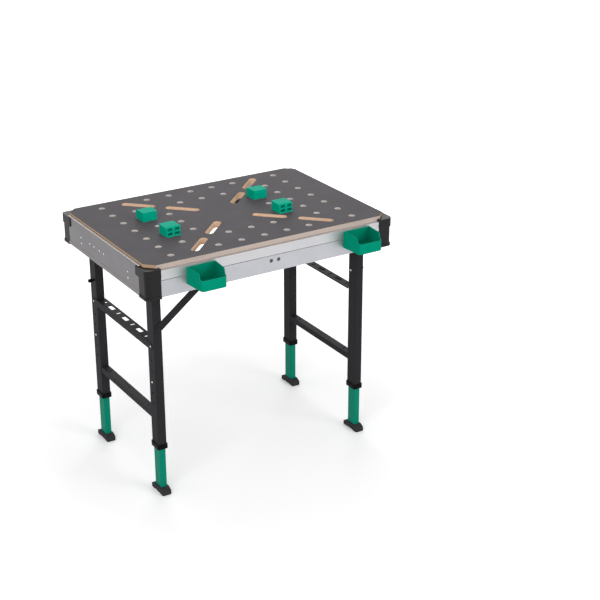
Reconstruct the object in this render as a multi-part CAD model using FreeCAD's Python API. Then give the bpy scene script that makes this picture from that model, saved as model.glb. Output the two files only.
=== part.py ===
import FreeCAD, Part
import math
import os

# Folding workbench: a perforated worktop on an aluminium rail frame, two folding leg frames
# with telescopic feet and one stay each, clamping blocks in the dog holes and hanging trays.
# Millimetres. X runs along the long side, the tray side faces -Y and Z is up. The pieces are
# laid out about the middle of the worktop and then moved along Y as one, so that the origin is
# on the floor below the middle of the whole outline, trays included.

V = FreeCAD.Vector

# Whole bench
bench_height = 950.0
frame_length = 1036.0
frame_depth = 720.0
cut_overrun = 1.0
running_gap = 0.04
slip_gap = 0.4

# Worktop
panel_end_reveal = 11.5
panel_side_reveal = 13.0
panel_thickness = 25.0
panel_corner_cut = 34.0
hole_pitch = 96.0
hole_columns = 9
hole_rows = 7
hole_diameter = 20.0
hole_bevel = 2.5
slot_width = 31.0
slot_run = 74.0
near_slot_start = 85.0
far_slot_start = 211.0

# Rails
rail_height = 93.0
long_rail_upstand = 7.0
short_rail_upstand = 18.0
rail_width = 30.0
rail_wall = 2.5
rail_lip = 8.0
rail_bead = 3.0
rail_bead_height = 7.0
groove_height = 61.0
groove_mouth = 2.6
groove_pocket = 11.0
groove_depth = 6.0

# Corner caps
cap_reach = 57.0
cap_proud = 1.0
cap_radius = 18.0
cap_rise = 14.0
cap_drop = 5.0
cap_band_height = 34.0
cap_band_proud = 2.5
cap_band_reach = 78.0
cap_lip_height = 9.0
cap_lip_proud = 2.5
cap_spigot = 12.0

# Leg frames
leg_end_inset = 72.0
leg_side_inset = 88.0
leg_shift = 12.0
left_hinge_drop = 60.0
right_hinge_drop = 102.0
tube_width = 34.0
tube_depth = 54.0
tube_wall = 2.0
tube_radius = 4.0
tube_bottom = 195.0
tube_head = 16.0
pin_diameter = 10.0
pin_head_diameter = 16.0
pin_head = 4.0

# Hinge brackets
bracket_wall = 4.0
bracket_top_drop = 30.0
bracket_height = 68.0
bracket_eye = 16.0
bracket_side_gap = 0.5
bracket_flange = 26.0

# Rivets and screws
rivet_diameter = 4.0
rivet_head_diameter = 7.0
rivet_head = 1.6
rivet_tail = 1.6
rivet_tail_diameter = 6.0
rivet_spacing = 24.0
rivet_row_drop = 71.0
pair_spacing = 38.0
near_pair_place = 6.0
far_pair_place = 91.0
screw_diameter = 6.0
screw_head_diameter = 15.0
screw_head = 2.2
screw_length = 14.0
screw_socket = 7.0
screw_spacing = 31.0
screw_drop = 75.0

# Crossbars
upper_bar_drop = 347.0
upper_bar_width = 38.0
upper_bar_height = 26.0
upper_bar_lip = 5.0
lower_bar_rise = 121.0
lower_bar_width = 30.0
lower_bar_height = 24.0
bar_wall = 2.0
punch_pitch = 60.0
punch_slot_width = 9.0
punch_slot_length = 20.0
punch_window_width = 17.0
punch_window_length = 39.0
punch_window_radius = 4.0
punch_steps = 3
drain_hole = 10.0
drain_inset = 50.0

# Telescopic feet
collar_wall = 4.0
collar_grip = 12.0
collar_lip = 6.0
inner_gap = 2.0
inner_wall = 1.8
inner_radius = 3.0
inner_over_lock = 40.0
lock_below_bar = 144.0
lock_pitch = 44.0
lock_steps = 2
lock_hole = 9.0
button_diameter = 8.0
button_proud = 3.5
clip_strip = 1.2
clip_width = 12.0
clip_arm = 14.0
clip_drop = 52.0
clip_bend = 3.6
foot_width = 36.0
foot_length = 96.0
foot_height = 25.0
foot_toe = 14.0
foot_floor = 7.0
foot_radius = 4.0
foot_rim = 4.0
foot_arch = 2.0
foot_arch_length = 44.0

# Stays
stay_width = 28.0
stay_thickness = 4.0
stay_side_gap = 0.3
stay_pivot_drop = 273.0
stay_run = 296.0
stay_bolt_diameter = 8.0
stay_bolt_head_diameter = 16.0
stay_bolt_head = 5.0
stay_nut = 6.0
stay_pin_diameter = 10.0
stay_pin_reach = 16.0
stay_pin_head_diameter = 15.0
stay_pin_head = 3.0
keeper_drop = 44.0
keeper_gap = 4.0
keeper_wall = 4.0
keeper_flange = 3.0
keeper_back = 17.0
keeper_front = 14.0
keeper_below = 16.0
keeper_seat = 16.0
keeper_mouth_high_deg = 8.0
keeper_mouth_low_deg = 48.0

# Fold knobs
knob_drop = 255.0
knob_shift = 12.0
knob_neck_diameter = 9.0
knob_neck = 10.0
knob_diameter = 14.0
knob_height = 14.0
knob_bevel = 2.0
knob_screw_diameter = 6.0
knob_screw_head_diameter = 10.0
knob_screw_head = 2.0

# Clamping blocks
block_width = 60.0
block_depth = 63.0
block_height = 36.0
block_radius = 5.0
block_slope_drop = 7.0
block_slope_run = 12.0
block_pocket_width = 21.0
block_pocket_height = 11.0
block_pocket_depth = 16.0
block_rib = 5.0
block_middle_rib = 8.0
block_groove = 5.0
block_groove_depth = 2.5
block_groove_height = 20.0
peg_gap = 0.3
peg_below = 7.0
peg_tip = 2.0
block_columns = (-3, 2)
block_row = 1

# Trays
tray_width = 116.0
tray_front_width = 100.0
tray_depth = 98.0
tray_height = 64.0
tray_wall = 2.5
tray_floor = 3.0
tray_drop = 25.0
tray_corner = 12.0
tray_lip = 40.0
tray_lip_inset = 6.0
tray_gap = 0.3
tray_hook_length = 60.0
tray_hook_wall = 2.4
left_tray_inset = 215.0
right_tray_inset = 161.0

# Heights and half sizes that follow from the sizes above
half_length = frame_length / 2
half_depth = frame_depth / 2
panel_length = frame_length - 2 * panel_end_reveal
panel_depth = frame_depth - 2 * panel_side_reveal
leg_x = half_length - leg_end_inset
leg_spread = frame_depth - 2 * leg_side_inset - tube_depth
inner_width = tube_width - 2 * tube_wall - 2 * inner_gap
inner_depth = tube_depth - 2 * tube_wall - 2 * inner_gap
keeper_x = leg_x - stay_run
lock_height = bench_height - upper_bar_drop - lock_below_bar
left_tray_x = left_tray_inset - half_length
right_tray_x = half_length - right_tray_inset
rail_top = bench_height - panel_thickness
rail_bottom = rail_top - rail_height
long_rail_end = half_length - cap_reach
short_rail_end = half_depth - cap_reach
stay_leg_y = -leg_shift - leg_spread / 2
plain_leg_y = leg_spread / 2 - leg_shift
tube_outer_x = -leg_x - tube_width / 2
inner_top = lock_height + inner_over_lock
front_reach = half_depth + tray_gap + tray_depth
rear_reach = half_depth + cap_proud + max(cap_band_proud, cap_lip_proud)
frame_shift = (front_reach - rear_reach) / 2


# Shape helpers
def box(x, y, z):
    low = V(min(x), min(y), min(z))
    return Part.makeBox(max(x) - min(x), max(y) - min(y), max(z) - min(z), low)


def rod(diameter, start, axis, length):
    return Part.makeCylinder(diameter / 2, length, start, axis)


def prism(points, push):
    corners = [V(*p) for p in points]
    return Part.Face(Part.makePolygon(corners + corners[:1])).extrude(push)


def rounded_outline(width, depth, radius):
    a, b = width / 2, depth / 2
    bend = radius * (1 - math.sqrt(0.5))
    edges = []
    last = None
    for sx, sy in ((1, -1), (1, 1), (-1, 1), (-1, -1)):
        along_x = V(sx * (a - radius), sy * b, 0)
        along_y = V(sx * a, sy * (b - radius), 0)
        middle = V(sx * (a - bend), sy * (b - bend), 0)
        first, second = (along_x, along_y) if sx * sy < 0 else (along_y, along_x)
        if last is not None:
            edges.append(Part.makeLine(last, first))
        edges.append(Part.Arc(first, middle, second).toShape())
        last = second
    edges.append(Part.makeLine(last, edges[0].Vertexes[0].Point))
    return Part.Wire(edges)


def rounded_prism(width, depth, radius, z):
    face = Part.Face(rounded_outline(width, depth, radius))
    return face.extrude(V(0, 0, max(z) - min(z))).translated(V(0, 0, min(z)))


def slot_prism(width, run, push):
    r, h = width / 2, run / 2
    edges = [
        Part.makeLine(V(-h, -r, 0), V(h, -r, 0)),
        Part.Arc(V(h, -r, 0), V(h + r, 0, 0), V(h, r, 0)).toShape(),
        Part.makeLine(V(h, r, 0), V(-h, r, 0)),
        Part.Arc(V(-h, r, 0), V(-h - r, 0, 0), V(-h, -r, 0)).toShape(),
    ]
    return Part.Face(Part.Wire(edges)).extrude(V(0, 0, push))


def turned(profile, place, axis):
    points = [V(r, 0, h) for r, h in profile]
    face = Part.Face(Part.makePolygon(points + points[:1]))
    solid = face.revolve(V(0, 0, 0), V(0, 0, 1), 360)
    solid.Placement = FreeCAD.Placement(place, FreeCAD.Rotation(V(0, 0, 1), axis))
    return solid


def joined(first, *others):
    return first.fuse(list(others)).removeSplitter()


def half_turn(shape):
    turned_shape = shape.copy()
    turned_shape.rotate(V(0, 0, 0), V(0, 0, 1), 180)
    return turned_shape


# Worktop: dog holes with a bevelled rim on a square grid, slots on both diagonals
def hole_places():
    for column in range(-(hole_columns // 2), hole_columns // 2 + 1):
        for row in range(-(hole_rows // 2), hole_rows // 2 + 1):
            on_diagonal = abs(column) == abs(row)
            near_middle = abs(column) + abs(row) <= 1
            if not on_diagonal and not near_middle:
                yield column * hole_pitch, row * hole_pitch


def panel_blank(grow, z):
    a, b = panel_length / 2 + grow, panel_depth / 2 + grow
    cut = panel_corner_cut
    outline = [
        (a - cut, -b), (a, -b + cut), (a, b - cut), (a - cut, b),
        (cut - a, b), (-a, b - cut), (-a, -b + cut), (cut - a, -b),
    ]
    low = min(z)
    return prism([(x, y, low) for x, y in outline], V(0, 0, max(z) - low))


def worktop():
    r = hole_diameter / 2
    under, top = rail_top, bench_height
    hole = [
        (0, under - cut_overrun), (r, under - cut_overrun), (r, top - hole_bevel),
        (r + hole_bevel + cut_overrun, top + cut_overrun), (0, top + cut_overrun),
    ]
    cutters = [turned(hole, V(x, y, 0), V(0, 0, 1)) for x, y in hole_places()]
    for start in (near_slot_start, far_slot_start):
        middle = (start + slot_run / 2) * math.sqrt(2)
        for quarter in range(4):
            slot = slot_prism(slot_width, slot_run * math.sqrt(2), panel_thickness + 2 * cut_overrun)
            slot.translate(V(middle, 0, under - cut_overrun))
            slot.rotate(V(0, 0, 0), V(0, 0, 1), 45 + 90 * quarter)
            cutters.append(slot)
    return panel_blank(0, (under, top)).cut(Part.makeCompound(cutters))


# Rails: channel extrusions with a stepped top that lets the worktop in, the long ones with a
# hanging groove in the outer face
def rail_foot():
    return [(-rail_bead, 0), (-rail_bead, rail_bead_height), (0, rail_bead_height + rail_bead)]


def rail_inside():
    w = rail_wall
    return [
        (w, w), (rail_width - w, w), (rail_width - w, rail_lip), (rail_width, rail_lip),
        (rail_width, 0),
    ]


def rail_flange(upstand, reveal):
    w = rail_wall
    top, ledge = rail_height + upstand, reveal - slip_gap
    return [
        (0, top), (ledge, top), (ledge, rail_height), (rail_width, rail_height),
        (rail_width, rail_height - w), (ledge - w, rail_height - w), (ledge - w, top - w), (w, top - w),
    ]


def groove_front():
    back = rail_wall + groove_depth
    mouth, roof = groove_height + groove_mouth, groove_height + groove_pocket
    return [
        (0, groove_height), (back, groove_height), (back, roof), (rail_wall, roof),
        (rail_wall, mouth), (0, mouth),
    ]


def groove_back():
    w = rail_wall
    back = w + groove_depth + w
    low, high = groove_height - w, groove_height + groove_pocket + w
    return [(w, high), (back, high), (back, low), (w, low)]


def long_rail(side):
    flange = rail_flange(long_rail_upstand, panel_side_reveal)
    outline = [(0, 0)] + groove_front() + flange + groove_back() + rail_inside()
    points = [(-long_rail_end, side * (half_depth - u), rail_bottom + v) for u, v in outline]
    return prism(points, V(2 * long_rail_end, 0, 0))


def front_rail():
    return long_rail(-1).cut(Part.makeCompound([screw_hole(x) for x in screw_places()]))


def left_rail():
    flange = rail_flange(short_rail_upstand, panel_end_reveal)
    outline = rail_foot() + flange + rail_inside()
    points = [(u - half_length, -short_rail_end, rail_bottom + v) for u, v in outline]
    rail = prism(points, V(0, 2 * short_rail_end, 0))
    holes = [rivet_hole(y, z) for y, z in rail_rivet_places()]
    return rail.cut(Part.makeCompound(holes))


# Recessed coupling screws in the middle of the front rail
def screw_places():
    return (-screw_spacing / 2, screw_spacing / 2)


def screw_outline(gap):
    shank, head = screw_diameter / 2 + gap, screw_head_diameter / 2 + gap
    return [(0, -screw_length), (shank, -screw_length), (shank, -screw_head), (head, 0)]


def screw_hole(x):
    outline = screw_outline(running_gap) + [(0, 0)]
    return turned(outline, V(x, -half_depth, bench_height - screw_drop), V(0, -1, 0))


def coupling_screw(x):
    socket = screw_socket / 2
    outline = screw_outline(0) + [(socket, 0), (socket, -screw_head), (0, -screw_head)]
    return turned(outline, V(x, -half_depth, bench_height - screw_drop), V(0, -1, 0))


# Rail rivets: one pair at each hinge bracket, two level pairs near the middle
def bracket_rivet_y(leg_y, inward):
    return leg_y + inward * (tube_depth / 2 + bracket_side_gap + bracket_wall + bracket_flange / 2)


def bracket_rivet_places(leg_y, inward):
    y = bracket_rivet_y(leg_y, inward)
    middle = bench_height - rivet_row_drop
    return [(y, middle - rivet_spacing / 2), (y, middle + rivet_spacing / 2)]


def pair_rivet_places():
    level = bench_height - rivet_row_drop + rivet_spacing / 2
    for place in (near_pair_place, far_pair_place):
        yield place - pair_spacing / 2, level
        yield place + pair_spacing / 2, level


def rail_rivet_places():
    places = bracket_rivet_places(stay_leg_y, 1) + bracket_rivet_places(plain_leg_y, -1)
    return places + list(pair_rivet_places())


def rivet_hole(y, z):
    depth = rail_wall + bracket_wall + 2 * cut_overrun
    start = V(-half_length - cut_overrun, y, z)
    return rod(rivet_diameter + 2 * running_gap, start, V(1, 0, 0), depth)


def rivet(place, axis, grip):
    shank, head, tail = rivet_diameter / 2, rivet_head_diameter / 2, rivet_tail_diameter / 2
    outline = [
        (0, -grip - rivet_tail), (tail, -grip - rivet_tail), (tail, -grip), (shank, -grip),
        (shank, 0), (head, 0), (shank, rivet_head), (0, rivet_head),
    ]
    return turned(outline, place, axis)


def left_rail_rivets():
    brackets = bracket_rivet_places(stay_leg_y, 1) + bracket_rivet_places(plain_leg_y, -1)
    outward = V(-1, 0, 0)
    shapes = [rivet(V(-half_length, y, z), outward, rail_wall + bracket_wall) for y, z in brackets]
    shapes += [rivet(V(-half_length, y, z), outward, rail_wall) for y, z in pair_rivet_places()]
    return shapes


# Corner caps: a rounded corner block with a prouder top band that laps onto the short rail,
# a foot lip and two spigots that plug into the rails
def cap_blank(proud, reach_y, z):
    a, b = half_length + proud, half_depth + proud
    x0, y0 = half_length - cap_reach, half_depth - reach_y
    low = min(z)
    bend = cap_radius * (1 - math.sqrt(0.5))
    first, middle, last = V(a, b - cap_radius, low), V(a - bend, b - bend, low), V(a - cap_radius, b, low)
    edges = [
        Part.makeLine(V(x0, y0, low), V(a, y0, low)),
        Part.makeLine(V(a, y0, low), first),
        Part.Arc(first, middle, last).toShape(),
        Part.makeLine(last, V(x0, b, low)),
        Part.makeLine(V(x0, b, low), V(x0, y0, low)),
    ]
    return Part.Face(Part.Wire(edges)).extrude(V(0, 0, max(z) - low))


def corner_cap():
    bottom, top = rail_bottom - cap_drop, rail_top + cap_rise
    body = cap_blank(cap_proud, cap_reach, (bottom, top))
    band = cap_blank(cap_proud + cap_band_proud, cap_band_reach, (top - cap_band_height, top))
    lip = cap_blank(cap_proud + cap_lip_proud, cap_reach, (bottom, bottom + cap_lip_height))
    through = (bottom - cut_overrun, top + cut_overrun)
    corner_x, corner_y = half_length - cap_reach, half_depth - cap_band_reach
    rail_side = box((corner_x, half_length), (corner_y, half_depth - cap_reach), through)
    inside = box((corner_x, half_length - rail_width), (corner_y, half_depth - rail_width), through)
    panel_room = panel_blank(slip_gap, (rail_top, top + cut_overrun))
    low_u, high_u = rail_wall + slip_gap, rail_width - rail_wall - slip_gap
    level = (rail_bottom + rail_wall + slip_gap, rail_bottom + groove_height - rail_wall - slip_gap)
    across_y = (half_depth - high_u, half_depth - low_u)
    across_x = (half_length - high_u, half_length - low_u)
    long_spigot = box((long_rail_end - cap_spigot, long_rail_end), across_y, level)
    short_spigot = box(across_x, (short_rail_end - cap_spigot, short_rail_end), level)
    shell = body.fuse([band, lip]).cut(Part.makeCompound([rail_side, inside, panel_room]))
    return joined(shell, long_spigot, short_spigot)


def mirrored(shape, flip_x, flip_y):
    if flip_x:
        shape = shape.mirror(V(0, 0, 0), V(1, 0, 0))
    if flip_y:
        shape = shape.mirror(V(0, 0, 0), V(0, 1, 0))
    return shape


# Hinge brackets: a riveted back plate in the channel of the short rail and two cheeks with an eye
def hinge_bracket(leg_y, inward, hinge_drop):
    back = rail_wall - half_length
    top = bench_height - bracket_top_drop
    bottom = top - bracket_height
    eye_z = bench_height - hinge_drop
    cheek_start = tube_depth / 2 + bracket_side_gap
    cheek_end = cheek_start + bracket_wall
    y_in = leg_y + inward * (cheek_end + bracket_flange)
    y_out = leg_y - inward * cheek_end
    shape = box((back, back + bracket_wall), (y_in, y_out), (bottom, top))
    for side in (1, -1):
        y = leg_y + side * (cheek_start if side > 0 else cheek_end)
        edges = [
            Part.makeLine(V(back, y, bottom), V(back, y, top)),
            Part.makeLine(V(back, y, top), V(-leg_x, y, eye_z + bracket_eye)),
            Part.Arc(
                V(-leg_x, y, eye_z + bracket_eye), V(bracket_eye - leg_x, y, eye_z),
                V(-leg_x, y, eye_z - bracket_eye),
            ).toShape(),
            Part.makeLine(V(-leg_x, y, eye_z - bracket_eye), V(back, y, bottom)),
        ]
        shape = shape.fuse(Part.Face(Part.Wire(edges)).extrude(V(0, bracket_wall, 0)))
    reach = 2 * (cheek_end + cut_overrun)
    eye = rod(pin_diameter + 2 * running_gap, V(-leg_x, leg_y - reach / 2, eye_z), V(0, 1, 0), reach)
    holes = [eye] + [rivet_hole(y, z) for y, z in bracket_rivet_places(leg_y, inward)]
    return shape.cut(Part.makeCompound(holes)).removeSplitter()


# Leg tubes: rectangular tube with the hinge bore, a row of lock holes and its fastener holes
def rect_tube(width, depth, wall, radius, z):
    hollow_radius = max(radius - wall, wall / 2)
    outer = rounded_prism(width, depth, radius, z)
    grown = (min(z) - cut_overrun, max(z) + cut_overrun)
    return outer.cut(rounded_prism(width - 2 * wall, depth - 2 * wall, hollow_radius, grown))


def lock_heights():
    return [lock_height + step * lock_pitch for step in range(-lock_steps, lock_steps + 1)]


def leg_tube(leg_y, hinge_drop, has_stay):
    eye_z = bench_height - hinge_drop
    tube = rect_tube(tube_width, tube_depth, tube_wall, tube_radius, (tube_bottom, eye_z + tube_head))
    tube.translate(V(-leg_x, leg_y, 0))
    outside = V(tube_outer_x - cut_overrun, leg_y, 0)
    through_wall = tube_wall + 2 * cut_overrun
    cutters = [
        rod(lock_hole, outside + V(0, 0, z), V(1, 0, 0), through_wall) for z in lock_heights()
    ]
    rivet_z = V(0, 0, bench_height - upper_bar_drop)
    cutters.append(rod(rivet_diameter + 2 * running_gap, outside + rivet_z, V(1, 0, 0), through_wall))
    start = V(-leg_x, leg_y - tube_depth / 2 - cut_overrun, eye_z)
    cutters.append(rod(pin_diameter + 2 * running_gap, start, V(0, 1, 0), tube_depth + 2 * cut_overrun))
    if has_stay:
        start = V(-leg_x, leg_y - tube_depth / 2 - cut_overrun, bench_height - stay_pivot_drop)
        cutters.append(rod(stay_bolt_diameter + 2 * running_gap, start, V(0, 1, 0), through_wall))
    else:
        start = outside + V(0, -knob_shift, bench_height - knob_drop)
        through_tube = tube_width + 2 * cut_overrun
        cutters.append(rod(knob_screw_diameter + 2 * running_gap, start, V(1, 0, 0), through_tube))
    return tube.cut(Part.makeCompound(cutters))


def hinge_pin(leg_y, hinge_drop):
    grip = 2 * (tube_depth / 2 + bracket_side_gap + bracket_wall + stay_side_gap)
    shank, head = pin_diameter / 2, pin_head_diameter / 2
    outline = [
        (0, -pin_head), (shank, -pin_head), (head, -pin_head / 2), (head, 0), (shank, 0),
        (shank, grip), (head, grip), (head, grip + pin_head / 2), (shank, grip + pin_head),
        (0, grip + pin_head),
    ]
    return turned(outline, V(-leg_x, leg_y - grip / 2, bench_height - hinge_drop), V(0, 1, 0))


# Crossbars: the upper one a punched angle riveted over the legs by its outer flange, the lower
# one a folded channel
def bar_length(outline, outer_x, top):
    low, high = between_legs()
    return prism([(outer_x + u, low, top + v) for u, v in outline], V(0, high - low, 0))


def between_legs():
    return stay_leg_y + tube_depth / 2, plain_leg_y - tube_depth / 2


def upper_crossbar():
    outer_x = tube_outer_x - bar_wall
    rivet_z = bench_height - upper_bar_drop
    top = rivet_z + upper_bar_height / 2
    w = bar_wall
    outline = [
        (0, -upper_bar_height), (0, 0), (upper_bar_width, 0), (upper_bar_width, -upper_bar_lip),
        (upper_bar_width - w, -upper_bar_lip), (upper_bar_width - w, -w), (w, -w), (w, -upper_bar_height),
    ]
    bar = bar_length(outline, outer_x, top)
    tab = slot_prism(upper_bar_height, leg_spread, bar_wall)
    upright = FreeCAD.Rotation(V(0, 1, 0), V(0, 0, 1), V(1, 0, 0), "XYZ")
    tab.Placement = FreeCAD.Placement(V(outer_x, -leg_shift, rivet_z), upright)
    depth = bar_wall + 2 * cut_overrun
    rivet_bore = rivet_diameter + 2 * running_gap
    cutters = [
        rod(rivet_bore, V(outer_x - cut_overrun, y, rivet_z), V(1, 0, 0), depth)
        for y in (stay_leg_y, plain_leg_y)
    ]
    for step in range(-punch_steps, punch_steps + 1):
        y = step * punch_pitch - leg_shift
        place = V(outer_x + upper_bar_width / 2, y, top - bar_wall - cut_overrun)
        if step % 2:
            punch = slot_prism(punch_slot_width, punch_slot_length - punch_slot_width, depth)
        else:
            punch = rounded_prism(punch_window_width, punch_window_length, punch_window_radius, (0, depth))
        cutters.append(punch.translated(place))
    return joined(bar, tab).cut(Part.makeCompound(cutters))


def lower_crossbar():
    top = tube_bottom + lower_bar_rise + lower_bar_height / 2
    low, high = between_legs()
    w, width, height = bar_wall, lower_bar_width, lower_bar_height
    outline = [
        (0, -height), (0, 0), (width, 0), (width, -height), (width - w, -height), (width - w, -w),
        (w, -w), (w, -height),
    ]
    bar = bar_length(outline, -leg_x - width / 2, top)
    under, depth = top - bar_wall - cut_overrun, bar_wall + 2 * cut_overrun
    places = (low + drain_inset, (low + high) / 2, high - drain_inset)
    cutters = [rod(drain_hole, V(-leg_x, y, under), V(0, 0, 1), depth) for y in places]
    return bar.cut(Part.makeCompound(cutters))


def frame_rivets():
    x, z = tube_outer_x - bar_wall, bench_height - upper_bar_drop
    return [rivet(V(x, y, z), V(-1, 0, 0), bar_wall + tube_wall) for y in (stay_leg_y, plain_leg_y)]


def fold_knob():
    neck, head = knob_neck_diameter / 2, knob_diameter / 2
    shank, end = knob_screw_diameter / 2, knob_screw_head_diameter / 2
    top = knob_neck + knob_height
    outline = [
        (0, -tube_width - knob_screw_head), (shank, -tube_width - knob_screw_head),
        (end, -tube_width), (shank, -tube_width), (shank, 0), (neck, 0), (neck, knob_neck),
        (head, knob_neck), (head, top - knob_bevel), (head - knob_bevel, top), (0, top),
    ]
    place = V(tube_outer_x, plain_leg_y - knob_shift, bench_height - knob_drop)
    return turned(outline, place, V(-1, 0, 0))


# Collars: a ring round the tube end whose lip guides the inner tube
def collar(leg_y):
    low, high = tube_bottom - collar_lip, tube_bottom + collar_grip
    width, depth = tube_width + 2 * collar_wall, tube_depth + 2 * collar_wall
    ring = rounded_prism(width, depth, tube_radius + collar_wall, (low, high))
    grip = rounded_prism(tube_width, tube_depth, tube_radius, (tube_bottom, high + cut_overrun))
    width, depth = inner_width + 2 * slip_gap, inner_depth + 2 * slip_gap
    guide = rounded_prism(width, depth, inner_radius + slip_gap, (low - cut_overrun, high))
    return ring.cut(grip.fuse(guide)).translated(V(-leg_x, leg_y, 0))


# Telescopic feet: inner tube, moulded foot and the spring clip with its snap button
def inner_tube(leg_y):
    tube = rect_tube(inner_width, inner_depth, inner_wall, inner_radius, (foot_floor, inner_top))
    start = V(-inner_width / 2 - cut_overrun, 0, lock_height)
    hole = rod(lock_hole, start, V(1, 0, 0), inner_wall + 2 * cut_overrun)
    return tube.cut(hole).translated(V(-leg_x, leg_y, 0))


def foot(leg_y):
    half, arch = foot_length / 2, foot_arch_length / 2
    rim = inner_depth / 2 + foot_rim
    outline = [
        (-half, 0), (-arch, 0), (-arch, foot_arch), (arch, foot_arch), (arch, 0), (half, 0),
        (half, foot_toe), (rim, foot_height), (-rim, foot_height), (-half, foot_toe),
    ]
    side = prism([(-foot_width / 2, y, z) for y, z in outline], V(foot_width, 0, 0))
    shape = side.common(rounded_prism(foot_width, foot_length, foot_radius, (0, foot_height)))
    socket = rounded_prism(inner_width, inner_depth, inner_radius, (foot_floor, foot_height + cut_overrun))
    return shape.cut(socket).translated(V(-leg_x, leg_y, 0))


def snap_button(leg_y):
    room = inner_width - 2 * inner_wall
    t = clip_strip
    outline = [
        (0, clip_arm), (0, -clip_arm), (room / 2, -clip_drop), (room, clip_arm), (room - t, clip_arm),
        (room / 2, clip_bend - clip_drop), (t, -clip_arm), (t, clip_arm),
    ]
    front = inner_wall - inner_width / 2
    points = [(front + u, -clip_width / 2, lock_height + v) for u, v in outline]
    strip = prism(points, V(0, clip_width, 0))
    stem = tube_width / 2 - inner_width / 2 + inner_wall
    r, tip = button_diameter / 2, stem + button_proud
    dome = [(0, 0), (r, 0), (r, stem + button_proud / 2), (r / 2, tip), (0, tip)]
    button = turned(dome, V(front, 0, lock_height), V(-1, 0, 0))
    return joined(strip, button).translated(V(-leg_x, leg_y, 0))


# Stays: a flat bar from the stay leg up to a keeper, held there by its end pin
def stay_line():
    rise = stay_pivot_drop - keeper_drop
    return math.hypot(stay_run, rise), math.degrees(math.atan2(rise, stay_run))


def stay_front():
    return stay_leg_y - tube_depth / 2 - stay_side_gap - stay_thickness


def stay():
    length, angle = stay_line()
    bar = slot_prism(stay_width, length, stay_thickness)
    bar.translate(V(length / 2, 0, 0))
    depth = stay_thickness + 2 * cut_overrun
    holes = [
        rod(stay_bolt_diameter + 2 * running_gap, V(0, 0, -cut_overrun), V(0, 0, 1), depth),
        rod(stay_pin_diameter, V(length, 0, -cut_overrun), V(0, 0, 1), depth),
    ]
    bar = bar.cut(Part.makeCompound(holes))
    bar.rotate(V(0, 0, 0), V(1, 0, 0), 90)
    bar.rotate(V(0, 0, 0), V(0, 1, 0), -angle)
    return bar.translated(V(-leg_x, stay_front() + stay_thickness, bench_height - stay_pivot_drop))


def stay_bolt():
    shank, head = stay_bolt_diameter / 2, stay_bolt_head_diameter / 2
    grip = tube_wall + stay_side_gap + stay_thickness + stay_side_gap
    outline = [
        (0, -grip - stay_nut), (head, -grip - stay_nut), (head, -grip), (shank, -grip), (shank, 0),
        (head, 0), (head, stay_bolt_head / 2), (shank, stay_bolt_head), (0, stay_bolt_head),
    ]
    place = V(-leg_x, stay_front() - stay_side_gap, bench_height - stay_pivot_drop)
    return turned(outline, place, V(0, -1, 0))


def stay_pin():
    shank, head = stay_pin_diameter / 2, stay_pin_head_diameter / 2
    outline = [
        (0, -stay_thickness), (shank, -stay_thickness), (shank, stay_pin_reach),
        (head, stay_pin_reach), (head, stay_pin_reach + stay_pin_head), (0, stay_pin_reach + stay_pin_head),
    ]
    return turned(outline, V(-keeper_x, stay_front(), bench_height - keeper_drop), V(0, -1, 0))


def stay_keeper():
    rear = stay_front() - keeper_gap
    flange_top = rail_top - rail_wall
    pin_z = bench_height - keeper_drop
    across = (-keeper_x - keeper_back, keeper_front - keeper_x)
    plate = box(across, (rear - keeper_wall, rear), (pin_z - keeper_below, flange_top))
    seat_y = (rail_width - half_depth - keeper_seat, rear)
    seat = box(across, seat_y, (flange_top - keeper_flange, flange_top))
    r = stay_pin_diameter / 2 + slip_gap
    high, low = math.radians(-keeper_mouth_high_deg), math.radians(-keeper_mouth_low_deg)
    reach = keeper_back + keeper_front + keeper_below
    start = rear - keeper_wall - cut_overrun
    depth = keeper_wall + 2 * cut_overrun
    hollow = rod(2 * r, V(-keeper_x, start, pin_z), V(0, 1, 0), depth)
    mouth = prism(
        [
            (-keeper_x - r * math.sin(high), start, pin_z + r * math.cos(high)),
            (-keeper_x + reach * math.cos(high), start, pin_z + r + reach * math.sin(high)),
            (-keeper_x + reach * math.cos(low), start, pin_z - r + reach * math.sin(low)),
            (-keeper_x + r * math.sin(low), start, pin_z - r * math.cos(low)),
        ],
        V(0, depth, 0),
    )
    return joined(plate, seat).cut(hollow.fuse(mouth))


# Clamping blocks: smooth jaw face with a short V groove, pockets in the back, round peg below
def clamping_block():
    a, b = block_width / 2, block_depth / 2
    body = rounded_prism(block_width, block_depth, block_radius, (0, block_height))
    end = -a - cut_overrun
    corner = [
        (end, b - block_slope_run, block_height), (end, b, block_height - block_slope_drop),
        (end, b + cut_overrun, block_height - block_slope_drop),
        (end, b + cut_overrun, block_height + cut_overrun),
        (end, b - block_slope_run, block_height + cut_overrun),
    ]
    slope = prism(corner, V(block_width + 2 * cut_overrun, 0, 0))
    groove = prism(
        [
            (-block_groove / 2, -b, -cut_overrun), (0, block_groove_depth - b, -cut_overrun),
            (block_groove / 2, -b, -cut_overrun), (0, -b - block_groove_depth, -cut_overrun),
        ],
        V(0, 0, block_groove_height + cut_overrun),
    )
    cutters = [slope, groove]
    for side in (-1, 1):
        x = side * (block_middle_rib + block_pocket_width) / 2
        across = (x - block_pocket_width / 2, x + block_pocket_width / 2)
        for row in (0, 1):
            z = block_rib + row * (block_rib + block_pocket_height)
            pocket = box(across, (b - block_pocket_depth, b + cut_overrun), (z, z + block_pocket_height))
            cutters.append(pocket)
    r = hole_diameter / 2 - peg_gap
    drop = panel_thickness + peg_below
    shank = [(0, -drop), (r - peg_tip, -drop), (r, peg_tip - drop), (r, 0), (0, 0)]
    peg = turned(shank, V(0, 0, 0), V(0, 0, 1))
    return joined(body.cut(Part.makeCompound(cutters)), peg)


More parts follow.
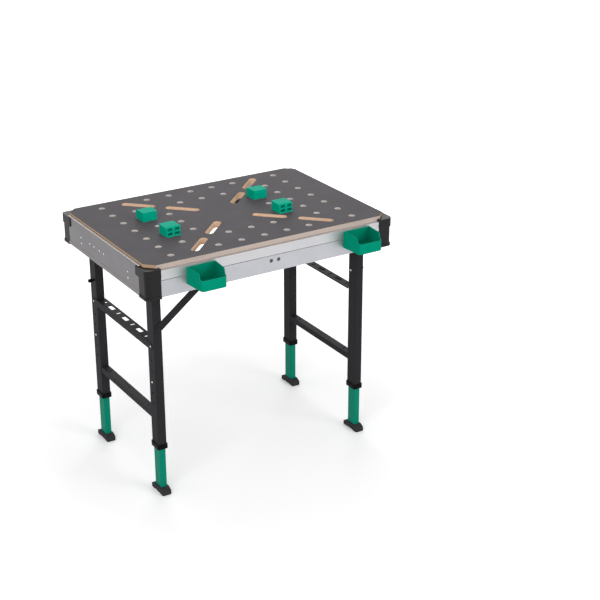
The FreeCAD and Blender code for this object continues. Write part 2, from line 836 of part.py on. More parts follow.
# Hanging trays: open bins whose side walls fall to a low front lip, hooked into the rail groove
def tray_outline(inset):
    back, front = tray_width / 2 - inset, tray_front_width / 2 - inset
    y_back = -half_depth - tray_gap - inset
    y_front = -half_depth - tray_gap - tray_depth + inset
    return [(-back, y_back), (-front, y_front), (front, y_front), (back, y_back)]


def tray_blank(inset, bottom):
    blank = prism([(u, v, bottom) for u, v in tray_outline(inset)], V(0, 0, tray_height))
    middle = -half_depth - tray_depth / 2
    front = [e for e in blank.Edges if e.BoundBox.ZLength > tray_height / 2 and e.BoundBox.YMax < middle]
    return blank.makeFillet(tray_corner - inset, front)


def tray(place):
    top = bench_height - tray_drop
    bottom = top - tray_height
    outer, inner = tray_blank(0, bottom), tray_blank(tray_wall, bottom + tray_floor)
    r = (tray_height - tray_lip) / 2
    lip = bottom + tray_lip
    front = -half_depth - tray_gap - tray_depth
    y1 = front + tray_lip_inset
    y2, y3 = y1 + r, y1 + 2 * r
    bend = r * math.sqrt(0.5)
    x = -tray_width / 2 - cut_overrun
    ahead, above = front - cut_overrun, top + cut_overrun
    edges = [
        Part.makeLine(V(x, y3, above), V(x, ahead, above)),
        Part.makeLine(V(x, ahead, above), V(x, ahead, lip)),
        Part.makeLine(V(x, ahead, lip), V(x, y1, lip)),
        Part.Arc(V(x, y1, lip), V(x, y1 + bend, lip + r - bend), V(x, y2, lip + r)).toShape(),
        Part.Arc(V(x, y2, lip + r), V(x, y3 - bend, top - r + bend), V(x, y3, top)).toShape(),
        Part.makeLine(V(x, y3, top), V(x, y3, above)),
    ]
    dip = Part.Face(Part.Wire(edges)).extrude(V(tray_width + 2 * cut_overrun, 0, 0))
    mouth_z = rail_bottom + groove_height
    hook = (-tray_hook_length / 2, tray_hook_length / 2)
    tongue_back = rail_wall + tray_gap + tray_hook_wall - half_depth
    low = mouth_z + tray_gap
    tongue = box(hook, (-half_depth - tray_gap, tongue_back), (low, mouth_z + groove_mouth - tray_gap))
    catch_z = (low, mouth_z + groove_pocket - tray_gap)
    catch = box(hook, (tongue_back - tray_hook_wall, tongue_back), catch_z)
    return joined(outer.cut(inner.fuse(dip)), tongue, catch).translated(V(place, 0, 0))


# Every piece by its node name
def leg_frame_nodes(side, hinge_drop, place_names):
    stay_end, plain_end = place_names
    legs = ((stay_end, stay_leg_y, True), (plain_end, plain_leg_y, False))
    nodes = {}
    for end, y, has_stay in legs:
        nodes[side + "_" + end + "_leg_tube"] = leg_tube(y, hinge_drop, has_stay)
        nodes[side + "_" + end + "_leg_collar"] = collar(y)
        nodes[side + "_" + end + "_inner_leg"] = inner_tube(y)
        nodes[side + "_" + end + "_foot"] = foot(y)
        nodes[side + "_" + end + "_snap_button"] = snap_button(y)
        nodes[side + "_" + end + "_hinge_bracket"] = hinge_bracket(y, 1 if has_stay else -1, hinge_drop)
    pins = [hinge_pin(y, hinge_drop) for end, y, has_stay in legs]
    nodes[side + "_hinge_pins"] = Part.makeCompound(pins)
    nodes[side + "_upper_crossbar"] = upper_crossbar()
    nodes[side + "_lower_crossbar"] = lower_crossbar()
    nodes[side + "_frame_rivets"] = Part.makeCompound(frame_rivets())
    nodes[side + "_fold_knob"] = fold_knob()
    nodes[side + "_stay_bolt"] = stay_bolt()
    nodes[side + "_stay"] = stay()
    nodes[side + "_stay_pin"] = stay_pin()
    nodes[side + "_stay_keeper"] = stay_keeper()
    return nodes


nodes = {
    "worktop": worktop(),
    "front_rail": front_rail(),
    "rear_rail": long_rail(1),
    "left_rail": left_rail(),
    "right_rail": half_turn(left_rail()),
    "coupling_screws": Part.makeCompound([coupling_screw(x) for x in screw_places()]),
    "rail_rivets": Part.makeCompound(left_rail_rivets() + [half_turn(r) for r in left_rail_rivets()]),
    "left_tray": tray(left_tray_x),
    "right_tray": tray(right_tray_x),
}
for flip_x, side in ((True, "left"), (False, "right")):
    for flip_y, end in ((True, "front"), (False, "rear")):
        nodes[end + "_" + side + "_corner_cap"] = mirrored(corner_cap(), flip_x, flip_y)
for column, side in zip(block_columns, ("left", "right")):
    for row, end in ((block_row, "rear"), (-block_row, "front")):
        block = clamping_block() if row > 0 else half_turn(clamping_block())
        place = V(column * hole_pitch, row * hole_pitch, bench_height)
        nodes[side + "_" + end + "_clamping_block"] = block.translated(place)
nodes.update(leg_frame_nodes("left", left_hinge_drop, ("front", "rear")))
right_nodes = leg_frame_nodes("right", right_hinge_drop, ("rear", "front"))
nodes.update({name: half_turn(shape) for name, shape in right_nodes.items()})

os.makedirs("parts", exist_ok=True)
for name, shape in nodes.items():
    solids = shape.Solids
    piece = solids[0] if len(solids) == 1 else Part.makeCompound(solids)
    piece.translated(V(0, frame_shift, 0)).exportStep("parts/" + name + ".step")
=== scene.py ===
import math

import bpy
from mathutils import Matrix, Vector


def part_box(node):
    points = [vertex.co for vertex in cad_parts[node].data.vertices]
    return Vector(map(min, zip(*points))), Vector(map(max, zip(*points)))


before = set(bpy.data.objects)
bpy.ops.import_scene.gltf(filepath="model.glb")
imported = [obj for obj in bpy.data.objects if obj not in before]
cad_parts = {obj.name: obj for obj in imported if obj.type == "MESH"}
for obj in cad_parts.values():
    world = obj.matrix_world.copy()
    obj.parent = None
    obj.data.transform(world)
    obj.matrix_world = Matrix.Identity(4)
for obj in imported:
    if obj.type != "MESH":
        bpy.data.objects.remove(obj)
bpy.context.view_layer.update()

# Worktop: one perforated board that lies on the rail frame and carries the work.
# It is medium density fibreboard with a phenolic film pressed on both faces, and the dog holes,
# slots and edges are milled afterwards, so they show the bare fibre.


def linear(code):
    channels = [int(code[i:i + 2], 16) / 255 for i in (1, 3, 5)]
    return [c / 12.92 if c <= 0.04045 else ((c + 0.055) / 1.055) ** 2.4 for c in channels] + [1.0]


def add(tree, kind, inputs, **settings):
    made = tree.nodes.new("ShaderNode" + kind)
    for name, value in settings.items():
        setattr(made, name, value)
    for socket, value in inputs.items():
        if isinstance(value, bpy.types.NodeSocket):
            tree.links.new(value, made.inputs[socket])
        else:
            made.inputs[socket].default_value = value
    return made.outputs


def finish_named(name):
    finish = bpy.data.materials.new(name)
    finish.use_nodes = True
    return finish, finish.node_tree, finish.node_tree.nodes["Principled BSDF"].inputs


def per_metre(millimetres):
    return 1000 / millimetres


def dress(finish, *nodes):
    for name in nodes:
        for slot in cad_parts[name].material_slots:
            slot.material = finish


# A Mix node has several sockets of one name, so they go by number: the share, then the two tones
# or the two plain numbers that are mixed. The mixed colour comes out at a number of its own too.
share, tone_a, tone_b, number_a, number_b = 0, 6, 7, 2, 3
mixed_colour, mixed_number = 2, 0

board_low, board_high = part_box("worktop")
board_middle = board_low.lerp(board_high, 0.5)
film_dark, film_light = linear("#545154"), linear("#605D60")
slot_dark, slot_light = linear("#C8A68A"), linear("#ECCFB6")
side_dark, side_light = linear("#AA9A91"), linear("#CDBFB6")
end_dark, end_light = linear("#B39476"), linear("#D6B594")
# The pale dog hole tones are painted light on the hole walls.
painted_lit_hole_dark, painted_lit_hole_light = linear("#B4ABA7"), linear("#D8D0CC")
film_cloud_mm, film_grain_mm, fibre_mm = 90, 2.4, 1.8
film_rough_low, film_rough_high, fibre_rough = 0.48, 0.62, 0.88
film_shine = 0.015
grain_strength, grain_depth = 0.12, 0.0004
edge_strip, slot_strip = 0.03, 0.055
level_face, long_face = 0.95, 0.9

# The film is smooth, a little cloudy and nearly matt. The milled fibre is dry and speckled: tan in the
# slots, at the ends and on the cut corners, and greyer on the long edges. The dog holes are paler: painted
# light on their walls.
# Film grain and fibres are really finer than a tenth of this, and are drawn coarse to show.
filmed_board, tree, skin = finish_named("phenolic_film_on_fibreboard")
place = add(tree, "TexCoord", {})
facing = add(tree, "SeparateXYZ", {"Vector": place["Normal"]})
upright = add(tree, "Math", {0: facing["Z"]}, operation="ABSOLUTE")
is_film = add(tree, "Math", {0: upright[0], 1: level_face}, operation="GREATER_THAN")
sideways = add(tree, "Math", {0: facing["Y"]}, operation="ABSOLUTE")
is_long_edge = add(tree, "Math", {0: sideways[0], 1: long_face}, operation="GREATER_THAN")

# Slots lie on the board's diagonals, dog holes beside them, and the edges in a strip round the outside.
offset = add(tree, "VectorMath", {0: place["Object"], 1: board_middle}, operation="SUBTRACT")
distance = add(tree, "VectorMath", {0: offset[0]}, operation="ABSOLUTE")
away = add(tree, "SeparateXYZ", {"Vector": distance[0]})
unequal = add(tree, "Math", {0: away["X"], 1: away["Y"]}, operation="SUBTRACT")
off_diagonal = add(tree, "Math", {0: unequal[0]}, operation="ABSOLUTE")
is_hole = add(tree, "Math", {0: off_diagonal[0], 1: slot_strip}, operation="GREATER_THAN")
end_from = board_high.x - board_middle.x - edge_strip
side_from = board_high.y - board_middle.y - edge_strip
past_end = add(tree, "Math", {0: away["X"], 1: end_from}, operation="GREATER_THAN")
past_side = add(tree, "Math", {0: away["Y"], 1: side_from}, operation="GREATER_THAN")
is_edge = add(tree, "Math", {0: past_end[0], 1: past_side[0]}, operation="MAXIMUM")

cloud = add(tree, "TexNoise", {"Vector": place["Object"], "Scale": per_metre(film_cloud_mm), "Detail": 3})
grain = add(tree, "TexNoise", {"Vector": place["Object"], "Scale": per_metre(film_grain_mm), "Detail": 2})
fibre = add(tree, "TexNoise", {"Vector": place["Object"], "Scale": per_metre(fibre_mm), "Detail": 5})
film_tone = add(tree, "Mix", {share: cloud["Fac"], tone_a: film_dark, tone_b: film_light}, data_type="RGBA")
slot_tone = add(tree, "Mix", {share: fibre["Fac"], tone_a: slot_dark, tone_b: slot_light}, data_type="RGBA")
painted_lit_hole_tone = add(tree, "Mix", {share: fibre["Fac"], tone_a: painted_lit_hole_dark, tone_b: painted_lit_hole_light}, data_type="RGBA")
side_tone = add(tree, "Mix", {share: fibre["Fac"], tone_a: side_dark, tone_b: side_light}, data_type="RGBA")
end_tone = add(tree, "Mix", {share: fibre["Fac"], tone_a: end_dark, tone_b: end_light}, data_type="RGBA")
edge_tone = add(
    tree, "Mix",
    {share: is_long_edge[0], tone_a: end_tone[mixed_colour], tone_b: side_tone[mixed_colour]},
    data_type="RGBA",
)
inner_tone = add(
    tree, "Mix",
    {share: is_hole[0], tone_a: slot_tone[mixed_colour], tone_b: painted_lit_hole_tone[mixed_colour]},
    data_type="RGBA",
)
fibre_tone = add(
    tree, "Mix",
    {share: is_edge[0], tone_a: inner_tone[mixed_colour], tone_b: edge_tone[mixed_colour]},
    data_type="RGBA",
)
tone = add(
    tree, "Mix",
    {share: is_film[0], tone_a: fibre_tone[mixed_colour], tone_b: film_tone[mixed_colour]},
    data_type="RGBA",
)
film_gloss = add(
    tree, "MapRange", {"Value": grain["Fac"], "To Min": film_rough_low, "To Max": film_rough_high}
)
gloss = add(tree, "Mix", {share: is_film[0], number_a: fibre_rough, number_b: film_gloss["Result"]})
bumps = add(tree, "Mix", {share: is_film[0], number_a: fibre["Fac"], number_b: grain["Fac"]})
relief = add(
    tree, "Bump",
    {"Height": bumps[mixed_number], "Strength": grain_strength, "Distance": grain_depth},
)
tree.links.new(tone[mixed_colour], skin["Base Color"])
tree.links.new(gloss[mixed_number], skin["Roughness"])
tree.links.new(relief["Normal"], skin["Normal"])
skin["Specular IOR Level"].default_value = film_shine
dress(filmed_board, "worktop")

# Rails: four extruded aluminium profiles under the edge of the board, cut to length and riveted.
# The long ones have a hanging groove, the short ones a rolled lower edge, and all are anodised.
drawn_line_mm, line_stretch, haze_mm, rail_edge_mm = 0.9, 0.01, 120, 0.6
line_strength, line_depth = 0.10, 0.0002
rail_rough_low, rail_rough_high = 0.38, 0.56
groove_mm, mouth_mm = 61, 2.4
lip_band_light, lip_fade, floor_margin = 0.32, 0.001, 0.0002
groove_painted_light, groove_light_metallic = linear("#E2E3E6"), 0.2
top_light_from, top_light_to = 0.2, 0.6


def anodised(name, dark, light, rubbed_and_lit, run, lip):
    # Satin anodising: a broad soft sheen, with faint lines along the way the profile was drawn.
    # The lines are drawn coarser than the real ones. Faces that look up, and the band above the lip level,
    # are painted lighter: painted light. The mouth of the groove is painted pale too, painted light over
    # its shade.
    finish, tree, skin = finish_named(name)
    place = add(tree, "TexCoord", {})
    line = per_metre(drawn_line_mm)
    squeeze = [line * (line_stretch if axis == run else 1) for axis in range(3)]
    stretched = add(tree, "VectorMath", {0: place["Object"], 1: squeeze}, operation="MULTIPLY")
    lines = add(tree, "TexNoise", {"Vector": stretched[0], "Scale": 1.0, "Detail": 3})
    haze = add(tree, "TexNoise", {"Vector": place["Object"], "Scale": per_metre(haze_mm), "Detail": 2})
    cool = add(tree, "Mix", {share: haze["Fac"], tone_a: dark, tone_b: light}, data_type="RGBA")
    facing = add(tree, "SeparateXYZ", {"Vector": place["Normal"]})
    # Faces that look up take the lighter tone: painted light from above.
    upward = add(tree, "MapRange", {"Value": facing["Z"], "From Min": top_light_from, "From Max": top_light_to})
    level = add(tree, "SeparateXYZ", {"Vector": place["Object"]})
    on_lip = add(
        tree, "MapRange",
        {"Value": level["Z"], "From Min": lip, "From Max": lip + lip_fade, "To Max": lip_band_light},
    )
    wear_and_light = add(tree, "Math", {0: upward["Result"], 1: on_lip["Result"]}, operation="MAXIMUM")
    worn_and_lit = add(
        tree, "Mix", {share: wear_and_light[0], tone_a: cool[mixed_colour], tone_b: rubbed_and_lit}, data_type="RGBA"
    )
    # The mouth of the groove is painted pale: painted light over the shade inside it.
    below_lip = add(tree, "Math", {0: level["Z"], 1: lip + mouth_mm / 1000}, operation="LESS_THAN")
    above_floor = add(tree, "Math", {0: level["Z"], 1: lip - floor_margin}, operation="GREATER_THAN")
    in_mouth = add(tree, "Math", {0: below_lip[0], 1: above_floor[0]}, operation="MULTIPLY")
    tone = add(
        tree, "Mix", {share: in_mouth[0], tone_a: worn_and_lit[mixed_colour], tone_b: groove_painted_light}, data_type="RGBA"
    )
    metal = add(tree, "MapRange", {"Value": in_mouth[0], "To Min": 1.0, "To Max": groove_light_metallic})
    gloss = add(
        tree, "MapRange", {"Value": lines["Fac"], "To Min": rail_rough_low, "To Max": rail_rough_high}
    )
    rounded = add(tree, "Bevel", {"Radius": rail_edge_mm / 1000}, samples=4)
    relief = add(
        tree, "Bump",
        {
            "Height": lines["Fac"], "Strength": line_strength, "Distance": line_depth,
            "Normal": rounded["Normal"],
        },
    )
    tree.links.new(tone[mixed_colour], skin["Base Color"])
    tree.links.new(metal["Result"], skin["Metallic"])
    tree.links.new(gloss["Result"], skin["Roughness"])
    tree.links.new(relief["Normal"], skin["Normal"])
    return finish


groove_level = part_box("front_rail")[0].z + groove_mm / 1000
over_short_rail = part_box("left_rail")[1].z + lip_fade
along_x, along_y = 0, 1
long_rail_alloy = anodised(
    "satin_anodised_aluminium", linear("#A2A3A8"), linear("#B1B2B6"), rubbed_and_lit=linear("#C9C7C6"),
    run=along_x, lip=groove_level,
)
# The short rails have no groove and no lip, so theirs is set just above them.
# Their tones are a darker copy of the long rails' tones: painted shade for sides turned away from the
# light.
short_rail_alloy_shaded = anodised(
    "shaded_grey_anodised_aluminium", linear("#6E6C6E"), linear("#7C7A7C"), rubbed_and_lit=linear("#948F8E"),
    run=along_y, lip=over_short_rail,
)
dress(long_rail_alloy, "front_rail", "rear_rail")
dress(short_rail_alloy_shaded, "left_rail", "right_rail")

# Fasteners: turned and headed steel rivets, pins and screws that hold the rails and the leg frames.
# They are zinc plated; the coupling screws in the front rail are black oxidised.
plating_mm, head_edge_mm = 3.0, 0.5
plating_strength, plating_depth, plating_spread = 0.08, 0.0002, 0.16


def plated(name, dark, light, polish):
    # Plated steel: bright and a little mottled, with a soft edge where the heads were tumbled.
    finish, tree, skin = finish_named(name)
    place = add(tree, "TexCoord", {})
    mottle = add(tree, "TexNoise", {"Vector": place["Object"], "Scale": per_metre(plating_mm), "Detail": 4})
    tone = add(tree, "Mix", {share: mottle["Fac"], tone_a: dark, tone_b: light}, data_type="RGBA")
    dullest = polish + plating_spread
    gloss = add(tree, "MapRange", {"Value": mottle["Fac"], "To Min": polish, "To Max": dullest})
    rounded = add(tree, "Bevel", {"Radius": head_edge_mm / 1000}, samples=4)
    relief = add(
        tree, "Bump",
        {
            "Height": mottle["Fac"], "Strength": plating_strength, "Distance": plating_depth,
            "Normal": rounded["Normal"],
        },
    )
    tree.links.new(tone[mixed_colour], skin["Base Color"])
    tree.links.new(gloss["Result"], skin["Roughness"])
    tree.links.new(relief["Normal"], skin["Normal"])
    skin["Metallic"].default_value = 1.0
    return finish


zinc = plated("zinc_plated_steel", linear("#C4C5C7"), linear("#DEDFE0"), polish=0.22)
black_oxide = plated("black_oxide_steel", linear("#4C4B4E"), linear("#646366"), polish=0.34)
dress(zinc, "rail_rivets")
dress(black_oxide, "coupling_screws")
for side in ("left", "right"):
    dress(zinc, side + "_hinge_pins", side + "_frame_rivets", side + "_stay_pin")

# Corner caps: four mouldings plugged into the rail ends, which cover the cut corners.
# They are glass filled nylon, coloured through, with the dull spark finish of their mould.
spark_mm, cloud_mm, mould_depth, moulding_wear_and_light = 1.6, 45, 0.0003, 0.6
edge_starts, edge_ends = 0.995, 0.90


def soft_edge(tree, radius_mm, wear_and_light):
    # Gives the normal of an edge rounded to that radius, and the share of wear and painted highlight where
    # the round turns.
    flat = add(tree, "NewGeometry", {})
    rounded = add(tree, "Bevel", {"Radius": radius_mm / 1000}, samples=6)
    turn = add(tree, "VectorMath", {0: rounded["Normal"], 1: flat["Normal"]}, operation="DOT_PRODUCT")
    worn_and_lit = add(
        tree, "MapRange",
        {"Value": turn["Value"], "From Min": edge_starts, "From Max": edge_ends, "To Max": wear_and_light},
    )
    return rounded["Normal"], worn_and_lit["Result"]


def moulded(name, dark, light, rubbed_and_lit, rough_low, rough_high, grain_mm, strength, shine, edge_mm):
    # Moulded plastic: even colour with a faint cloud, a fine grain and soft edges that are rubbed pale and
    # carry a painted highlight.
    # The grain is drawn several times coarser than the mould's real one, so that it shows.
    finish, tree, skin = finish_named(name)
    place = add(tree, "TexCoord", {})
    rounded, worn_and_lit = soft_edge(tree, edge_mm, moulding_wear_and_light)
    cloud = add(tree, "TexNoise", {"Vector": place["Object"], "Scale": per_metre(cloud_mm), "Detail": 3})
    grain = add(tree, "TexNoise", {"Vector": place["Object"], "Scale": per_metre(grain_mm), "Detail": 2})
    body = add(tree, "Mix", {share: cloud["Fac"], tone_a: dark, tone_b: light}, data_type="RGBA")
    # Edges take the pale tone: rubbing wear and a painted highlight.
    tone = add(tree, "Mix", {share: worn_and_lit, tone_a: body[mixed_colour], tone_b: rubbed_and_lit}, data_type="RGBA")
    gloss = add(tree, "MapRange", {"Value": grain["Fac"], "To Min": rough_low, "To Max": rough_high})
    relief = add(
        tree, "Bump",
        {"Height": grain["Fac"], "Strength": strength, "Distance": mould_depth, "Normal": rounded},
    )
    tree.links.new(tone[mixed_colour], skin["Base Color"])
    tree.links.new(gloss["Result"], skin["Roughness"])
    tree.links.new(relief["Normal"], skin["Normal"])
    skin["Specular IOR Level"].default_value = shine
    return finish


black_nylon = moulded(
    "glass_filled_nylon", linear("#0C0C0E"), linear("#121214"), rubbed_and_lit=linear("#333336"),
    rough_low=0.40, rough_high=0.56, grain_mm=spark_mm, strength=0.22, shine=0.2, edge_mm=2.2,
)
for end in ("front", "rear"):
    dress(black_nylon, end + "_left_corner_cap", end + "_right_corner_cap")

# Hinge brackets and stay keepers: pressed steel fixed inside the rails, where legs and stays hang.
# They are bent from sheet galvanised at the mill, so they keep its grey, flowery zinc.
spangle_mm = 9.0
spangle_dark, spangle_light = linear("#9A9C9E"), linear("#B6B8BA")
spangle_rough_low, spangle_rough_high = 0.34, 0.55

# Mill galvanised sheet: flat grey patches of zinc crystal that catch the light one by one.
galvanised, tree, skin = finish_named("galvanised_sheet_steel")
place = add(tree, "TexCoord", {})
spangle = add(tree, "TexVoronoi", {"Vector": place["Object"], "Scale": per_metre(spangle_mm)})
tint = add(tree, "SeparateColor", {"Color": spangle["Color"]})
tone = add(tree, "Mix", {share: tint[0], tone_a: spangle_dark, tone_b: spangle_light}, data_type="RGBA")
gloss = add(tree, "MapRange", {"Value": tint[1], "To Min": spangle_rough_low, "To Max": spangle_rough_high})
tree.links.new(tone[mixed_colour], skin["Base Color"])
tree.links.new(gloss["Result"], skin["Roughness"])
skin["Metallic"].default_value = 1.0
for side in ("left", "right"):
    dress(galvanised, side + "_front_hinge_bracket", side + "_rear_hinge_bracket", side + "_stay_keeper")

# Leg frames and stays: rectangular welded tube, punched channel crossbars and flat bar stays.
# All are steel, powder coated in one charcoal after punching, so the hole edges are coated too,
# and so are the heads of the stay bolts.
peel_mm, coat_cloud_mm, coat_edge_mm, coat_wear_and_light = 2.2, 70, 1.2, 0.7
peel_strength, peel_depth = 0.16, 0.0003


def powder_coated(name, dark, light, thinned_and_lit, rough_low, rough_high, shine):
    # Powder coat: a slightly wavy, half dull skin, a shade lighter where it thins over the edges, which is
    # also a painted highlight.
    # The waves are drawn about twice as wide as the real ones.
    finish, tree, skin = finish_named(name)
    place = add(tree, "TexCoord", {})
    rounded, worn_and_lit = soft_edge(tree, coat_edge_mm, coat_wear_and_light)
    cloud = add(
        tree, "TexNoise", {"Vector": place["Object"], "Scale": per_metre(coat_cloud_mm), "Detail": 3}
    )
    peel = add(tree, "TexNoise", {"Vector": place["Object"], "Scale": per_metre(peel_mm), "Detail": 1})
    coat = add(tree, "Mix", {share: cloud["Fac"], tone_a: dark, tone_b: light}, data_type="RGBA")
    # Edges take the lighter tone: thinner coat and a painted highlight.
    tone = add(tree, "Mix", {share: worn_and_lit, tone_a: coat[mixed_colour], tone_b: thinned_and_lit}, data_type="RGBA")
    gloss = add(tree, "MapRange", {"Value": peel["Fac"], "To Min": rough_low, "To Max": rough_high})
    relief = add(
        tree, "Bump",
        {"Height": peel["Fac"], "Strength": peel_strength, "Distance": peel_depth, "Normal": rounded},
    )
    tree.links.new(tone[mixed_colour], skin["Base Color"])
    tree.links.new(gloss["Result"], skin["Roughness"])
    tree.links.new(relief["Normal"], skin["Normal"])
    skin["Specular IOR Level"].default_value = shine
    return finish


charcoal_coat = powder_coated(
    "charcoal_powder_coat", linear("#28272A"), linear("#2E2D30"), thinned_and_lit=linear("#48474A"),
    rough_low=0.40, rough_high=0.56, shine=0.03,
)
for side in ("left", "right"):
    dress(charcoal_coat, side + "_front_leg_tube", side + "_rear_leg_tube")
    dress(charcoal_coat, side + "_upper_crossbar", side + "_lower_crossbar")
    dress(charcoal_coat, side + "_stay", side + "_stay_bolt")

# Collars and fold knobs: a guide ring pressed on each lower tube end, and one knob on each frame.
# Both are the same black nylon as the corner caps, a little smoother because hands rub them.
smooth_nylon = moulded(
    "smooth_black_nylon", linear("#070708"), linear("#0B0B0D"), rubbed_and_lit=linear("#242426"),
    rough_low=0.42, rough_high=0.56, grain_mm=spark_mm, strength=0.12, shine=0.06, edge_mm=1.0,
)
for side in ("left", "right"):
    dress(smooth_nylon, side + "_front_leg_collar", side + "_rear_leg_collar")

# The knob is moulded round a plated screw, whose bright head shows on the inner side of its leg.
screw_head = linear("#D5D6D8")
leg_inner_face = abs(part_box("left_rear_leg_tube")[1].x)
knob_nylon = smooth_nylon.copy()
knob_nylon.name = "nylon_knob_on_plated_screw"
tree = knob_nylon.node_tree
skin = tree.nodes["Principled BSDF"].inputs
place = add(tree, "TexCoord", {})
distance = add(tree, "VectorMath", {0: place["Object"]}, operation="ABSOLUTE")
away = add(tree, "SeparateXYZ", {"Vector": distance[0]})
is_screw = add(tree, "Math", {0: away["X"], 1: leg_inner_face}, operation="LESS_THAN")
black = skin["Base Color"].links[0].from_socket
tone = add(tree, "Mix", {share: is_screw[0], tone_a: black, tone_b: screw_head}, data_type="RGBA")
tree.links.new(tone[mixed_colour], skin["Base Color"])
tree.links.new(is_screw[0], skin["Metallic"])
dress(knob_nylon, "left_fold_knob", "right_fold_knob")

# Inner legs: the telescopic lower tubes, which slide in the collars to set the height.
# They are drawn steel tube, powder coated green. The upper end never leaves the outer tube, and there it
# is painted near black: painted shade inside the tube.
slide_mm, spare_mm = 88, 12
tube_painted_shade = linear("#0B0C0C")
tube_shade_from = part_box("left_front_leg_collar")[0].z + (slide_mm + spare_mm) / 1000
green_coat = powder_coated(
    "green_powder_coat", linear("#007962"), linear("#00846B"), thinned_and_lit=linear("#3FA890"),
    rough_low=0.40, rough_high=0.54, shine=0.06,
)
tree = green_coat.node_tree
skin = tree.nodes["Principled BSDF"].inputs
place = add(tree, "TexCoord", {})
level = add(tree, "SeparateXYZ", {"Vector": place["Object"]})
# Above this level the tube is painted near black: painted shade inside the outer tube.
in_tube_shade = add(tree, "Math", {0: level["Z"], 1: tube_shade_from}, operation="GREATER_THAN")
green = skin["Base Color"].links[0].from_socket
tone = add(tree, "Mix", {share: in_tube_shade[0], tone_a: green, tone_b: tube_painted_shade}, data_type="RGBA")
tree.links.new(tone[mixed_colour], skin["Base Color"])
for side in ("left", "right"):
    dress(green_coat, side + "_front_inner_leg", side + "_rear_inner_leg")

# Snap buttons: sprung steel clips in the inner tubes, whose buttons click into the lock holes.
# They are stainless, pressed and barrel polished, so they are the brightest spots of the legs.
stainless = plated("polished_stainless_steel", linear("#CFD0D2"), linear("#E4E5E6"), polish=0.14)
for side in ("left", "right"):
    dress(stainless, side + "_front_snap_button", side + "_rear_snap_button")

# Feet: long shoes pushed on the ends of the inner legs, which spread the load on the floor.
# They are moulded from black rubber with a dry, dusty surface.
black_rubber = moulded(
    "moulded_black_rubber", linear("#2C2B2D"), linear("#373638"), rubbed_and_lit=linear("#4A494B"),
    rough_low=0.66, rough_high=0.82, grain_mm=2.0, strength=0.30, shine=0.12, edge_mm=1.0,
)
for side in ("left", "right"):
    dress(black_rubber, side + "_front_foot", side + "_rear_foot")

# Clamping blocks: four loose stops whose pegs drop into the dog holes and hold the work.
# They are moulded in green ABS, smooth on one side and cored out in pockets on the other.
green_abs = moulded(
    "green_abs", linear("#00A487"), linear("#00B091"), rubbed_and_lit=linear("#4FC3A8"),
    rough_low=0.40, rough_high=0.54, grain_mm=1.2, strength=0.08, shine=0.01, edge_mm=1.4,
)
for side in ("left", "right"):
    dress(green_abs, side + "_front_clamping_block", side + "_rear_clamping_block")

# Trays: two open bins for small parts, hooked into the groove of the front rail.
# They are thin polypropylene mouldings, softer and waxier to the eye than the blocks.
green_polypropylene = moulded(
    "green_polypropylene", linear("#00856A"), linear("#009073"), rubbed_and_lit=linear("#45B497"),
    rough_low=0.42, rough_high=0.56, grain_mm=1.4, strength=0.10, shine=0.01, edge_mm=1.2,
)
dress(green_polypropylene, "left_tray", "right_tray")

# Floor: a seamless white studio floor that runs out of the picture on all sides.
# It is matt paper, seen as white by eye and by polished metal. It glows less near the bench, so that
# the bench's soft shadow stays.
shadow_reach, clear_reach = 0.7, 2.2
shadow_glow, clear_glow = 0.17, 0.55
paper_grain_mm, paper_rough = 6, 0.95
paper_dark, paper_light = linear("#F4F4F4"), linear("#F8F8F8")
half_width, below_feet = 30, 0.0005
white = linear("#FFFFFF")


def seen_directly(tree):
    # Is 1 for what the camera sees, also in a mirror or through glass, and 0 for light on the bench.
    path = add(tree, "LightPath", {})
    seen = add(tree, "Math", {0: path["Is Camera Ray"], 1: path["Is Glossy Ray"]}, operation="MAXIMUM")
    return add(tree, "Math", {0: seen[0], 1: path["Is Transmission Ray"]}, operation="MAXIMUM")[0]


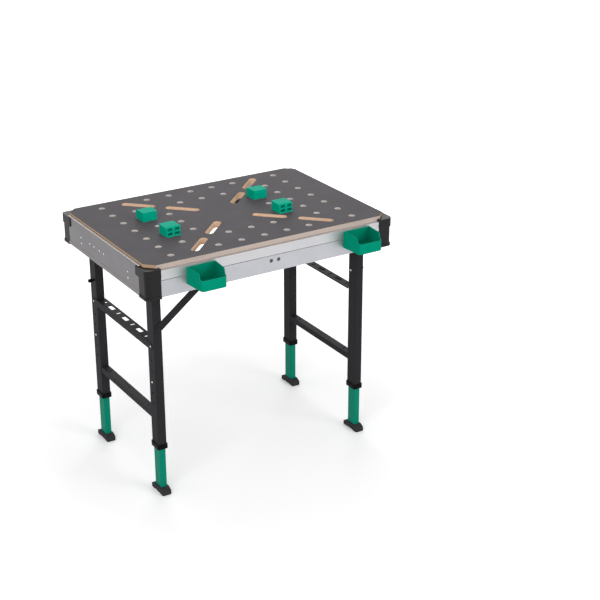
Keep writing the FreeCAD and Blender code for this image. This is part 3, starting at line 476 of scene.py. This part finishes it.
# Matt paper: white with a faint, even grain and no shine at all.
paper, tree, skin = finish_named("matt_white_paper")
place = add(tree, "TexCoord", {})
reach = add(tree, "VectorMath", {0: place["Object"]}, operation="LENGTH")
strength = add(
    tree, "MapRange",
    {
        "Value": reach["Value"], "From Min": shadow_reach, "From Max": clear_reach,
        "To Min": shadow_glow, "To Max": clear_glow,
    },
)
glow = add(tree, "Math", {0: seen_directly(tree), 1: strength["Result"]}, operation="MULTIPLY")
grain = add(tree, "TexNoise", {"Scale": per_metre(paper_grain_mm), "Detail": 2})
tone = add(tree, "Mix", {share: grain["Fac"], tone_a: paper_dark, tone_b: paper_light}, data_type="RGBA")
tree.links.new(tone[mixed_colour], skin["Base Color"])
tree.links.new(glow[0], skin["Emission Strength"])
skin["Emission Color"].default_value = white
skin["Roughness"].default_value = paper_rough
skin["Specular IOR Level"].default_value = 0.0
corners = [(x * half_width, y * half_width, 0) for x, y in ((-1, -1), (1, -1), (1, 1), (-1, 1))]
floor_mesh = bpy.data.meshes.new("studio_floor")
floor_mesh.from_pydata(corners, [], [(0, 1, 2, 3)])
floor_mesh.materials.append(paper)
floor = bpy.data.objects.new("studio_floor", floor_mesh)
floor.location.z = -below_feet
bpy.context.scene.collection.objects.link(floor)

# Light: a bright even room with a large soft box at each side of the camera and one behind.
# The room looks white to the camera and in polished metal.
room_light, room_white = 0.62, 1.0
room = bpy.data.worlds.new("studio_room")
bpy.context.scene.world = room
room.use_nodes = True
tree = room.node_tree
level = add(tree, "MapRange", {"Value": seen_directly(tree), "To Min": room_light, "To Max": room_white})
back = tree.nodes["Background"].inputs
back["Color"].default_value = white
tree.links.new(level["Result"], back["Strength"])

for name, spot, size, power in (
    ("left_soft_box", (-3.2, -2.6, 3.0), 2.4, 60),
    ("right_soft_box", (2.0, -4.2, 2.5), 2.4, 68),
    ("rear_soft_box", (1.9, 3.6, 2.7), 2.8, 70),
):
    lamp = bpy.data.lights.new(name, "AREA")
    lamp.size = size
    lamp.energy = power
    soft_box = bpy.data.objects.new(name, lamp)
    soft_box.location = spot
    soft_box.rotation_euler = (board_middle - soft_box.location).to_track_quat("-Z", "Y").to_euler()
    bpy.context.scene.collection.objects.link(soft_box)

# Camera: a long lens at the front left of the bench and above it, looking down on the worktop.
# It is turned so that the bench fills the left and middle of the square picture.
sensor_mm, focal_mm, sees_to = 36, 82.8, 100
eye = (-2.405, -4.307, 2.727)
look_down, look_right = 23.33, 32.17
lens = bpy.data.cameras.new("camera")
lens.sensor_width = sensor_mm
lens.lens = focal_mm
lens.clip_end = sees_to
camera = bpy.data.objects.new("camera", lens)
camera.location = eye
camera.rotation_euler = (math.radians(90 - look_down), 0, math.radians(-look_right))
bpy.context.scene.collection.objects.link(camera)
bpy.context.scene.camera = camera
bpy.context.scene.view_settings.view_transform = "Standard"
